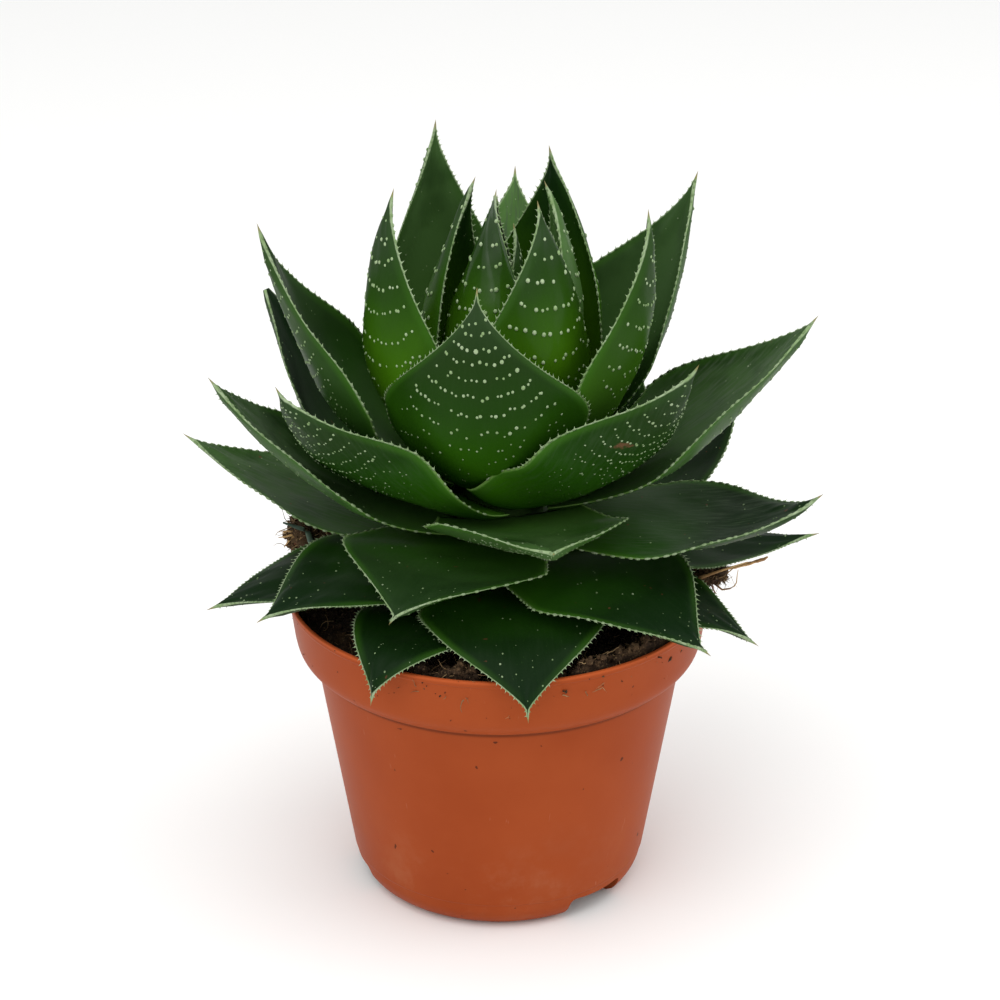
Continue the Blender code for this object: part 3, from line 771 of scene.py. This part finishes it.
class Leaf:
    """The form of one leaf. Along runs from 0 at the stem to 1 at the tip, across from -1 to 1."""

    def __init__(self, index):
        turn, reach, top, width, start_angle, end_angle, roll = LEAVES[index]
        below = max(index - SHOULDER_LEAF, 0)
        above = max(SHOULDER_LEAF - index, 0)
        self.index = index
        self.number = index + 1
        self.tone = index / (len(LEAVES) - 1)
        self.width = width
        rule = (INNER_NARROWING if index < SHOULDER_LEAF else ROOT_NARROWING, 0, 0)
        self.narrow, self.cup, self.swell = ROOTS.get(self.number, rule)
        self.clasp = CLASPS.get(self.number, 0)
        self.azimuth = math.radians(FIRST_AZIMUTH + index * GOLDEN_ANGLE + turn)
        away, home = math.radians(start_angle), math.radians(end_angle)
        inward = UPPER_SHARE * float(self.rib_thickness(0)) * math.sin(away)
        start = np.array((STEM_RADIUS - above * STEM_TAPER + ROOT_GAP + inward,
                          STEM_SHOULDER - below * SPIRAL_STEP + above))
        end = np.array((reach, top))
        span = np.linalg.norm(end - start)
        handle = LEAF_HANDLE * span
        self.bezier = (start, start + handle * np.array((math.cos(away), math.sin(away))),
                       end - handle * np.array((math.cos(home), math.sin(home))), end)
        self.length = span * MIDRIB_LENGTH
        self.roll = math.radians(roll)
        self.taper = INNER_TAPER if self.number < OUTER_LEAF else OUTER_TAPER
        channel = CHANNEL - abs(index - DEEPEST_LEAF) * CHANNEL_LOSS
        self.channel = math.radians(max(channel, FLATTEST_CHANNEL))
        self.end = BROKEN_TIPS.get(self.number, 1.0)
        self.draw = random.Random(100 + index)
        self.phases = [self.draw.uniform(0, math.tau) for _ in range(6)]

    def rib(self, along):
        """Radius, height and slope of the midrib."""
        a, b, c, d = self.bezier
        along = along[:, None]
        rest = 1 - along
        spot = a * rest ** 3 + b * 3 * along * rest ** 2 + c * 3 * along ** 2 * rest + d * along ** 3
        slope = (b - a) * rest ** 2 + (c - b) * 2 * along * rest + (d - c) * along ** 2
        return spot[:, 0], spot[:, 1], np.arctan2(slope[:, 1], slope[:, 0])

    def half_width(self, along):
        """Ovate outline with a narrower root, a drawn-out point and a fine spine at the end."""
        to_tip = np.maximum(1 - TIP_SPINE / self.length - along, 0)
        point = 1 - LEAF_WIDEST
        rise = np.sin(np.pi / 2 * np.minimum(to_tip / point, 1)) ** self.taper
        root = 1 - self.narrow * np.maximum(to_tip - point, 0) / LEAF_WIDEST
        spine = np.clip((1 - along) * self.length / TIP_SPINE, 0, 1)
        return 0.5 * spine + (self.width / 2 - 0.5) * rise * root

    def rib_thickness(self, along):
        swell = 1 + self.swell * (1 - smooth(along / SWELL_END))
        return max(self.width * LEAF_THICKNESS, THIN_LEAF) * (1 - TIP_THINNING * along) * swell

    def ripple(self, along, across):
        """Gentle unevenness of the blade, the same on both faces."""
        p = self.phases
        wave = (np.sin(7 * along + 3 * across + p[0]) + 0.7 * np.sin(13 * along - 5 * across + p[1])
                + 0.5 * np.sin(23 * along + 9 * across + p[2]) + 0.6 * np.sin(4 * across + p[3]))
        return RIPPLE * wave * smooth((along - 0.12) / 0.3) * smooth((1 - along) / 0.15)

    def ridges(self, along, across, half):
        """Low lengthwise ridges on the upper face of the older leaves."""
        depth = RIDGE * min(max((self.index - 12) / 10, 0), 1)
        sway = np.sin(5 * along + self.phases[4])
        ridge = np.cos(across * half * math.tau / RIDGE_PITCH + sway + self.phases[5])
        return depth * ridge * smooth((along - 0.2) / 0.3) * smooth((0.9 - np.abs(across)) / 0.3)

    def place(self, along, across, face):
        """Points on the upper (face 1), lower (-1) or middle (0) surface, with the directions
        towards the tip, outwards along the section and upwards out of it."""
        along = np.asarray(along, dtype=float)
        across = np.asarray(across, dtype=float)
        radius, height, slope = self.rib(along)
        sine, cosine = math.sin(self.azimuth), math.cos(self.azimuth)
        ahead = np.stack((np.cos(slope) * sine, -np.cos(slope) * cosine, np.sin(slope)), axis=-1)
        level = np.array((cosine, sine, 0.0))
        roll = self.roll * np.minimum(2 * along, 1)[:, None]
        side = level * np.cos(roll) + np.cross(ahead, level) * np.sin(roll)
        up = np.cross(ahead, side)
        half = self.half_width(along)
        wrap = half * np.maximum(np.sin(slope), 0) / np.maximum(radius, STEM_RADIUS / 2)
        cup = self.cup * (1 - smooth((along - CUP_START) / CUP_RANGE))
        clasp = smooth(along / CLASP_RISE) * (1 - smooth((along - CLASP_RISE) / CLASP_FALL))
        cup = cup + self.clasp * clasp * (across < 0)
        bend = np.minimum(wrap + cup + self.channel * smooth((along - 0.2) / 0.5) + 0.02, FULLEST_BEND)
        turn = bend * across
        out = side * np.cos(turn)[:, None] + up * np.sin(turn)[:, None]
        inward = up * np.cos(turn)[:, None] - side * np.sin(turn)[:, None]
        middle = np.minimum(self.rib_thickness(along), (0.8 + 0.6 * half) * np.clip(half / 0.5, 0, 1))
        edge = np.minimum(EDGE_THICKNESS, middle)
        round_edge = np.sqrt(np.maximum(1 - across ** 2, 0))
        thickness = (middle - edge) * (1 - across ** 2) + edge * round_edge
        share = np.where(face > 0, UPPER_SHARE, np.where(face < 0, UPPER_SHARE - 1, 0.0))
        relief = self.ripple(along, across) + np.where(face > 0, self.ridges(along, across, half), 0)
        lift = share * thickness + relief
        centre = np.stack((radius * sine, -radius * cosine, height), axis=-1)
        spot = (centre + side * (np.sin(turn) / bend * half)[:, None]
                + up * ((1 - np.cos(turn)) / bend * half)[:, None] + inward * lift[:, None])
        return spot, ahead, out * np.where(across < 0, -1, 1)[:, None], inward


def paint(item, **values):
    """Keep a number per vertex under each name, for the material to read."""
    for name, value in values.items():
        layer = item.data.attributes.new(name, "FLOAT", "POINT")
        layer.data.foreach_set("value", np.broadcast_to(value, len(item.data.vertices)).astype(np.float32))


def make_blade(leaf):
    """A grid rolled into the leaf's skin: over the upper face and back along the underside."""
    bpy.ops.object.select_all(action="DESELECT")
    bpy.ops.mesh.primitive_grid_add(x_subdivisions=LEAF_ROUND, y_subdivisions=LEAF_RINGS, size=2,
                                    calc_uvs=True)
    blade = bpy.context.object
    mesh = blade.data
    grid = rows_of(mesh.vertices, "co")
    turn = np.round(grid[:, 0] * LEAF_ROUND / 2) / (LEAF_ROUND / 2)
    along = (1 - ((1 - grid[:, 1]) / 2) ** RING_CROWDING) * leaf.end
    share = np.where(turn <= 0, 2 * turn + 1, 1 - 2 * turn)
    across = (1 - EDGE_CROWDING) * share + EDGE_CROWDING * np.sin(np.pi / 2 * share)
    face = np.where(turn <= 0, 1, -1)
    spot = leaf.place(along, across, face)[0]
    mesh.vertices.foreach_set("co", (spot * MM).ravel())
    half = leaf.half_width(along)
    paint(blade, along=along, upper=(face + 1) / 2, edge=(1 - np.abs(across)) * half, across=across * half,
          pale=0.0, tone=leaf.tone, stripe=along * leaf.length)
    bpy.ops.object.mode_set(mode="EDIT")
    bpy.ops.mesh.select_mode(type="EDGE")
    bpy.ops.mesh.select_all(action="SELECT")
    bpy.ops.mesh.remove_doubles(threshold=0.000001)
    bpy.ops.mesh.select_all(action="DESELECT")
    bpy.ops.mesh.select_non_manifold()
    bpy.ops.mesh.edge_face_add()
    bpy.ops.mesh.select_all(action="SELECT")
    bpy.ops.mesh.normals_make_consistent(inside=False)
    bpy.ops.object.mode_set(mode="OBJECT")
    mesh.shade_smooth()
    return blade


def tooth_model():
    """A thorn with a broad hollow-flanked base, its tip towards +Z."""
    bpy.ops.mesh.primitive_cone_add(vertices=6, radius1=0.5, radius2=0.17, depth=0.5, end_fill_type="NGON",
                                    location=(0, 0, 0))
    bpy.ops.object.mode_set(mode="EDIT")
    bpy.ops.mesh.select_mode(type="FACE")
    bpy.ops.mesh.select_all(action="DESELECT")
    bpy.ops.object.mode_set(mode="OBJECT")
    tooth = bpy.context.object
    for face in tooth.data.polygons:
        face.select = face.normal.z > 0.9
    bpy.ops.object.mode_set(mode="EDIT")
    bpy.ops.mesh.extrude_region_move(TRANSFORM_OT_translate={"value": (0, 0, 0.75)})
    bpy.ops.mesh.merge(type="CENTER")
    bpy.ops.object.mode_set(mode="OBJECT")
    return model_arrays(tooth)


def dot_model():
    """A small round body, its poles at the top and bottom."""
    bpy.ops.mesh.primitive_uv_sphere_add(segments=7, ring_count=4, radius=1)
    return model_arrays(bpy.context.object)


tooth_shape = tooth_model()
dot_shape = dot_model()


def margin_places(leaf, pitch, first, last):
    """Shares along the leaf at which teeth stand, a little irregular and closer near the tip."""
    along = first
    spots = []
    while along < last:
        spots.append(along)
        close = 1.1 - 0.35 * float(smooth((along - 0.4) / 0.5))
        along += pitch * close / leaf.length * leaf.draw.uniform(0.75, 1.3)
    return np.array(spots)


def add_margin(leaf, side):
    """Teeth along one margin, each on a pale bead."""
    _, pitch, height, leaning, bead, bulk = next(kind for kind in MARGIN_KINDS if leaf.index < kind[0])
    along = margin_places(leaf, pitch, 0.10, 0.975 * leaf.end)
    across = np.full(len(along), float(side))
    flat = np.zeros(len(along))
    spot, _, out, _ = leaf.place(along, across, flat)
    tangent = unit(leaf.place(along + 0.004, across, flat)[0] - leaf.place(along - 0.004, across, flat)[0])
    out = unit(out - tangent * np.sum(out * tangent, axis=-1, keepdims=True))
    grown = smooth((along - 0.12) / 0.3)
    rise = np.array([leaf.draw.uniform(0.6, 1.2) for _ in along])
    rise *= height * (0.2 + 0.8 * grown) * (1 - 0.3 * smooth((along - 0.8) / 0.2))
    lean = np.array([leaf.draw.gauss(leaning, 0.25) for _ in along])
    point = unit(out + tangent * lean[:, None])
    thick = unit(np.cross(point, tangent))
    width = rise * 0.5 + 0.2
    axes = np.stack((tangent * width[:, None], thick * 0.28, point * rise[:, None]), axis=-1)
    teeth = stamp("teeth", tooth_shape, axes, spot + out * (0.16 * rise)[:, None])
    length = bead * np.array([leaf.draw.uniform(0.75, 1.25) for _ in along])
    bulge = 0.12 + 0.10 * grown
    bead_axes = np.stack((tangent * length[:, None], out * bulge[:, None],
                          unit(np.cross(tangent, out)) * bulk), axis=-1)
    beads = stamp("beads", dot_shape, bead_axes, spot - out * 0.06)
    return teeth, beads


def add_keel(leaf):
    """Small hooked teeth on the keel near the tip."""
    along = margin_places(leaf, KEEL_PITCH, KEEL_START, 0.96 * leaf.end)
    across = np.zeros(len(along))
    under = np.full(len(along), -1.0)
    spot, ahead, _, inward = leaf.place(along, across, under)
    rise = np.array([leaf.draw.uniform(0.35, 0.65) for _ in along])
    point = unit(ahead * 0.5 - inward)
    axes = np.stack((ahead * 0.55, unit(np.cross(point, ahead)) * 0.36, point * rise[:, None]), axis=-1)
    return stamp("keel_teeth", tooth_shape, axes, spot - inward * 0.05)


def underside_dots(leaf):
    """Rows of raised dots that bow away from the tip, even near it and scattered further down."""
    _, radius, distance, gap, widest, step, white = next(
        kind for kind in DOT_KINDS if leaf.index < kind[0])
    draw, dots = leaf.draw, []
    while distance < leaf.length * 0.9:
        half = float(leaf.half_width(np.array([1 - distance / leaf.length]))[0])
        fade = min(max((distance / leaf.length - DOT_FADE) / 0.3, 0), 1)
        count = max(round(1.5 * half / (step * (1 + 0.3 * fade))), 2)
        for place in range(count):
            if draw.random() < 0.06 + 0.5 * fade:
                continue
            across = 1.5 * (place + 0.5 + 0.4 * draw.uniform(-1, 1)) / count - 0.75
            away = distance * (1 - ROW_BOW * across ** 2) + draw.gauss(0, 0.32 + 1.6 * fade)
            size = radius * (1 - 0.5 * fade) * draw.uniform(0.7, 1.15)
            if draw.random() < 0.07:
                size *= 1.35
            dots.append((1 - away / leaf.length, across, size, white * (1 - 0.5 * fade)))
        gap = min(gap * 1.13, widest)
        distance += gap * draw.uniform(0.92, 1.08)
    return [dot for dot in dots if 0.1 < dot[0] < 0.96 * leaf.end]


def add_dots(leaf):
    """The raised dots of both faces: rows below, a few small ones above."""
    under = underside_dots(leaf)
    upper = [(leaf.draw.uniform(0.3, 0.93), leaf.draw.uniform(-0.85, 0.85),
              0.10 + 0.17 * leaf.draw.random() ** 2, leaf.draw.uniform(0.35, 0.8))
             for _ in range(16 + leaf.index // 2)]
    along, across, size, pale = np.array(under + upper).T
    face = np.concatenate((np.full(len(under), -1.0), np.full(len(upper), 1.0)))
    spot, ahead, _, inward = leaf.place(along, across, face)
    normal = inward * face[:, None]
    axes = np.stack((ahead * (size * 1.15)[:, None], unit(np.cross(normal, ahead)) * size[:, None],
                     normal * (size * 0.55)[:, None]), axis=-1)
    return stamp("dots", dot_shape, axes, spot), np.repeat(pale, len(dot_shape[0]))


def leaf_material():
    """Waxy leaf skin: bright green at the base, darker and greyer to the tip, with a pale margin."""
    material, shader, shade = new_material("aloe_leaf_skin", Specular_IOR_Level=0.05, Coat_Roughness=0.15)
    names = "along across edge stripe upper pale tone gloss bloom fresh".split()
    along, across, edge, stripe, upper, pale, tone, gloss, bloom, fresh = map(shade.attribute, names)
    lines = shade.node("CombineXYZ", None, {0: across, 1: stripe, 2: tone * 40})
    cloud = shade.noise(55, 3)
    streak = shade.noise(1.4, 3, 0.6, (1, 0.09, 1), lines)
    fleck = shade.noise(2.6, 2, 0.5, (1, 0.35, 1), lines)
    ride = along + (cloud - 0.5) * 0.2
    under = shade.node("ValToRGB", {"stops": (
        (0.06, (0.030, 0.125, 0.0012)),
        (0.34, (0.014, 0.066, 0.0015)),
        (0.56, (0.009, 0.038, 0.002)),
        (0.76, (0.012, 0.034, 0.005)),
        (0.95, (0.022, 0.046, 0.016)),
    )}, {"Fac": ride})
    above = shade.node("ValToRGB", {"stops": (
        (0.08, (0.032, 0.120, 0.003)),
        (0.34, (0.014, 0.060, 0.003)),
        (0.62, (0.005, 0.019, 0.003)),
        (0.92, (0.004, 0.015, 0.004)),
    )}, {"Fac": ride})
    skin = upper.rise(0.3, 0.7).blend(under, above)
    young = tone.fall(0.2, 0.34)
    skin = (young * ride.fall(0.45, 1.0) * 0.6).blend(skin, (0.024, 0.092, 0.003))
    skin = (young * ride.fall(0.25, 0.80) * 0.85).blend(skin, (0.066, 0.190, 0.002))
    # Lighter green: fresher colour on young leaves, and painted light on leaves 17, 21 and 28.
    skin = (fresh * cloud.rise(0.2, 0.6)).blend(skin, (0.080, 0.170, 0.045))
    # Grey-green streaks: waxy bloom, and on leaves 17, 19 and 28 a painted sheen of the pale backdrop.
    skin = (streak.rise(0.4, 0.75) * bloom * 0.5).blend(skin, (0.070, 0.105, 0.058))
    away = shade.maths("SUBTRACT", shade.node("TexCoord", output="Object"), SCAR_PLACE, kind="VectorMath")
    away = shade.maths("MULTIPLY", away, SCAR_SHAPE, kind="VectorMath")
    away = shade.maths("LENGTH", away, kind="VectorMath", output="Value")
    scar = (away + (shade.noise(900, 3) - 0.5) * 0.004).fall(0.0006, 0.0016)
    skin = (scar * 0.9).blend(skin, (0.12, 0.060, 0.028))
    skin = (fleck.rise(0.68, 0.8) * 0.25).blend(skin, (0.045, 0.110, 0.025))
    skin = (edge.fall(0.6, 3.0) * along.fall(0.45, 1.0) * 0.6).blend(skin, (0.040, 0.130, 0.010))
    rust = shade.noise(520, 1, 0.5).rise(0.76, 0.80) * tone.rise(0.4, 0.6)
    skin = (rust * 0.7).blend(skin, (0.10, 0.035, 0.018))
    young_horn = along.fall(0.30, 0.62)
    ragged = edge + (shade.noise(1000, 2) - 0.5) * 0.22
    horn = ragged.fall(0.16, young_horn * 0.6 + 0.42)
    chalk = (horn * (0.85 - young_horn * 0.25)).larger(pale)
    white = shade.noise(300, 2).rise(0.3, 0.7).blend((0.26, 0.38, 0.17), (0.40, 0.50, 0.31))
    white = (young_horn * (1 - pale)).blend(white, (0.22, 0.38, 0.10))
    skin = (chalk * 0.92).blend(skin, white)
    dry = along.rise(0.968, 0.99)
    skin = (dry * 0.8).blend(skin, (0.24, 0.17, 0.06))
    rough = cloud * 0.16 + streak * 0.08 + chalk * 0.2 + 0.32
    relief = streak * 0.15 + fleck * 0.12 + shade.noise(1500, 2) * 0.15
    feed(shader, Base_Color=skin, Roughness=rough, Coat_Weight=gloss * cloud.rise(0.3, 0.65),
         Normal=bump(shade, relief, 0.00012))
    return material


leaf_skin = leaf_material()
for index in range(len(LEAVES)):
    leaf = Leaf(index)
    blade = make_blade(leaf)
    sides = [add_margin(leaf, side) for side in (-1, 1)]
    keel = [add_keel(leaf)] if leaf.number in KEELED else []
    dots, dot_pale = add_dots(leaf)
    shared = {**dict.fromkeys(("upper", "across", "stripe", "bloom", "fresh"), 0.0), "along": 0.6,
              "edge": 9.0, "tone": leaf.tone}
    for teeth, beads in sides:
        paint(teeth, **shared, pale=1.0, gloss=0.0)
        paint(beads, **shared, pale=0.62, gloss=0.1)
    for teeth in keel:
        paint(teeth, **shared, pale=0.8, gloss=0.0)
    paint(dots, **shared, pale=dot_pale, gloss=0.0)
    paint(blade, gloss=GLOSS.get(leaf.number, 0.0), bloom=BLOOM_AND_SHEEN.get(leaf.number, LEAST_BLOOM),
          fresh=FRESH_AND_LIT.get(leaf.number, 0.0))
    select_only(blade, *sides[0], *sides[1], *keel, dots)
    bpy.ops.object.join()
    blade.name = f"aloe_leaf_{leaf.number:02d}"
    dress(blade, leaf_skin, "leaf", f"leaf_{leaf.number:02d}")


# Dried leaf: one withered leaf left on the soil behind the right side, brown, curled and papery.
def dried_material():
    """Withered skin: straw and brown in lengthwise streaks."""
    material, shader, shade = new_material("withered_leaf", Specular_IOR_Level=0.3)
    streak = shade.noise(500, 4, 0.6, (0.15, 1, 1))
    straw = streak.rise(0.3, 0.7).blend((0.22, 0.11, 0.045), (0.60, 0.36, 0.15))
    feed(shader, Base_Color=straw, Roughness=streak * 0.2 + 0.65, Normal=bump(shade, streak, 0.0005))
    return material


dried = merged_copy("withered_leaf", "dried_leaf")
apply_modifier(dried, "SUBSURF", levels=3, render_levels=3)
for vertex in dried.data.vertices:
    place = vertex.co / MM
    vertex.co += Vector((0, 0, noise.noise(place / 1.2) * 0.25 * MM))
dried.data.shade_smooth()
dress(dried, dried_material(), "dried_leaf", "dried_leaf")


# Studio: a pale floor and soft light from a white tent, with the camera where the viewer stood.
CAMERA_ASIDE = 0.32
CAMERA_DISTANCE = 738.1
CAMERA_TILT = math.radians(24.43)
TARGET_HEIGHT = 101.4
bpy.ops.mesh.primitive_plane_add(size=12)
floor = bpy.context.object
floor.name = "studio_floor"
floor_material = new_material("studio_floor", Base_Color=(0.93, 0.93, 0.92, 1), Roughness=0.9)[0]
floor.data.materials.append(floor_material)

world = bpy.data.worlds.new("white_tent")
bpy.context.scene.world = world
world.use_nodes = True
tent = world.node_tree.nodes["Background"].inputs
tent["Color"].default_value = (1, 1, 1, 1)
tent["Strength"].default_value = 0.8

for name, place, size, watts in (
    ("key", (-0.45, -0.6, 0.95), 1.1, 5.5),
    ("top", (0.1, -0.1, 1.2), 1.2, 4),
    ("right", (0.9, -0.1, 0.5), 0.9, 2.5),
):
    bpy.ops.object.light_add(type="AREA", location=place)
    lamp = bpy.context.object
    lamp.name = name
    lamp.data.size = size
    lamp.data.energy = watts
    aim = Vector((0, 0, 0.1)) - lamp.location
    lamp.rotation_euler = aim.to_track_quat("-Z", "Y").to_euler()

bpy.ops.object.camera_add(
    location=(CAMERA_ASIDE * MM, -CAMERA_DISTANCE * math.cos(CAMERA_TILT) * MM,
              (TARGET_HEIGHT + CAMERA_DISTANCE * math.sin(CAMERA_TILT)) * MM),
    rotation=(math.pi / 2 - CAMERA_TILT, 0, 0))
camera = bpy.context.object
camera.data.lens = 108
camera.data.sensor_width = 36
camera.data.clip_start = 0.01
bpy.context.scene.camera = camera
bpy.context.scene.view_settings.view_transform = "Standard"
